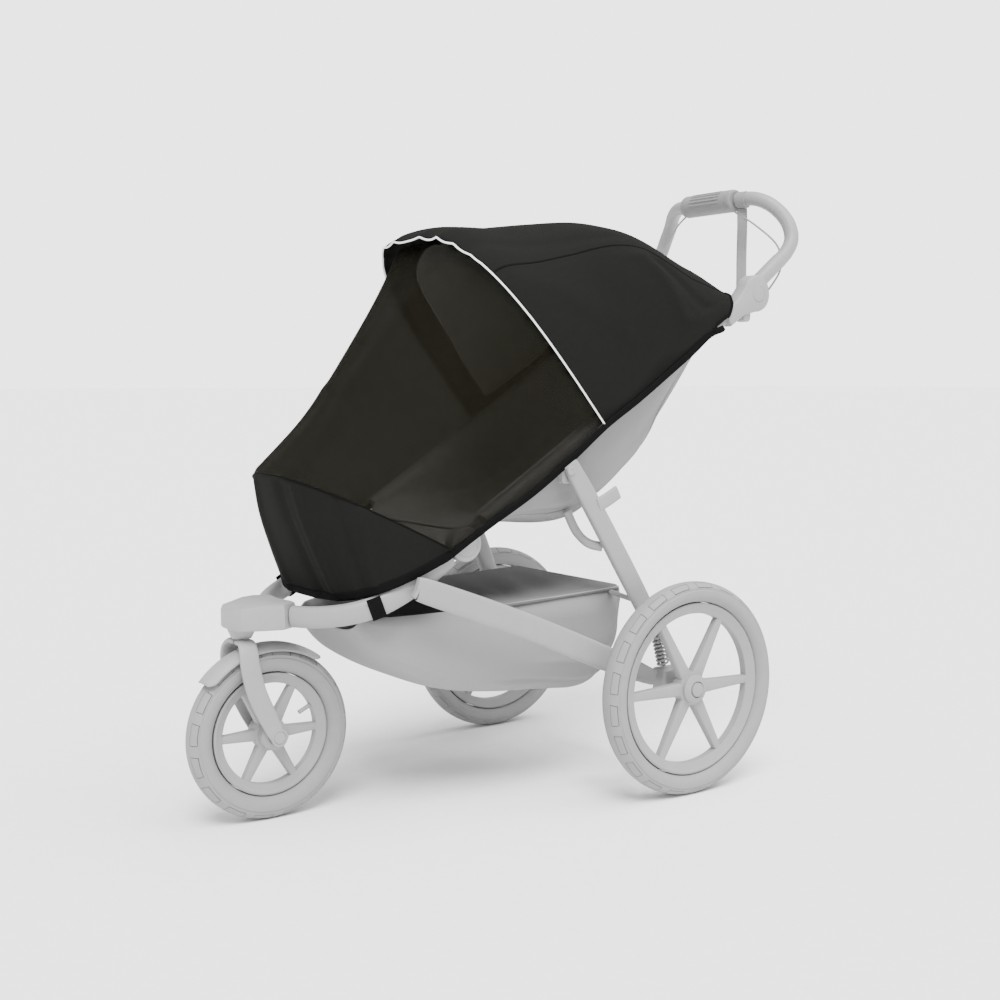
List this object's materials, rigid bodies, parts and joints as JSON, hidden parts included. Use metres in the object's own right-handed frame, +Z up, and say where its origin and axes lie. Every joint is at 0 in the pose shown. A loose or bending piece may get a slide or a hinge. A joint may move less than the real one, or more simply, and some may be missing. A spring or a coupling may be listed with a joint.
{
  "type": "stroller mosquito net on a three-wheel stroller",
  "caption": "Sheer black mosquito net cover with a cloth hood, a foot panel, piping and bound hems, fitted over a plain three-wheel stroller.",
  "frame": {"origin": "on the floor under the middle of the whole", "axes": "+Z up, -Y the way the stroller faces, +X the stroller's left side"},
  "size_m": [0.693, 1.2843, 1.1715],
  "materials": {
    "net": "sheer woven mosquito net, matt black",
    "hood_cloth": "smooth plain weave, matt black",
    "foot_cloth": "smooth plain weave, matt black",
    "binding": "ribbed binding tape, black",
    "piping": "reflective piping, white",
    "webbing": "ribbed webbing, black",
    "seat_cloth": "plain woven cloth, mid grey",
    "basket_cloth": "plain woven cloth, mid grey",
    "frame_tube": "satin paint, pale grey",
    "plastic": "fine grained moulding, pale grey",
    "grip": "ribbed grip, mid grey",
    "tyre": "matt rubber, mid grey",
    "rim": "satin moulding, pale grey"
  },
  "bodies": {
    "root": {"axle_block_left": "plastic", "axle_block_right": "plastic", "bar_pin_left": "frame_tube", "bar_pin_right": "frame_tube", "basket": "basket_cloth", "basket_lid": "basket_cloth", "basket_stay_left": "frame_tube", "basket_stay_right": "frame_tube", "canopy_inner": "seat_cloth", "chassis_bar_left": "frame_tube", "chassis_bar_right": "frame_tube", "foot_panel": "foot_cloth", "fork_crown": "plastic", "fork_leg_left": "frame_tube", "fork_leg_right": "frame_tube", "front_tube_left": "frame_tube", "front_tube_right": "frame_tube", "handle_arm_left": "frame_tube", "handle_arm_right": "frame_tube", "handle_grip": "grip", "handle_joint_left": "plastic", "handle_joint_right": "plastic", "head_block": "plastic", "head_stem": "frame_tube", "hem_tape": "binding", "hood_piping": "piping", "hood_side_left": "hood_cloth", "hood_side_right": "hood_cloth", "hood_top": "hood_cloth", "hub_front": "rim", "hub_rear_left": "rim", "hub_rear_right": "rim", "leg_bracket_left": "plastic", "leg_bracket_right": "plastic", "leg_rest": "seat_cloth", "mudguard": "plastic", "net_body": "net", "pivot_left": "plastic", "pivot_right": "plastic", "rear_axle": "frame_tube", "rear_binding": "binding", "rear_leg_left": "frame_tube", "rear_leg_right": "frame_tube", "rim_front": "rim", "rim_rear_left": "rim", "rim_rear_right": "rim", "seat": "seat_cloth", "side_tube_left": "frame_tube", "side_tube_right": "frame_tube", "spring_left": "frame_tube", "spring_right": "frame_tube", "strap_left": "webbing", "strap_right": "webbing", "stub_axle_left": "frame_tube", "stub_axle_right": "frame_tube", "tyre_front": "tyre", "tyre_rear_left": "tyre", "tyre_rear_right": "tyre"}
  },
  "joints": []
}
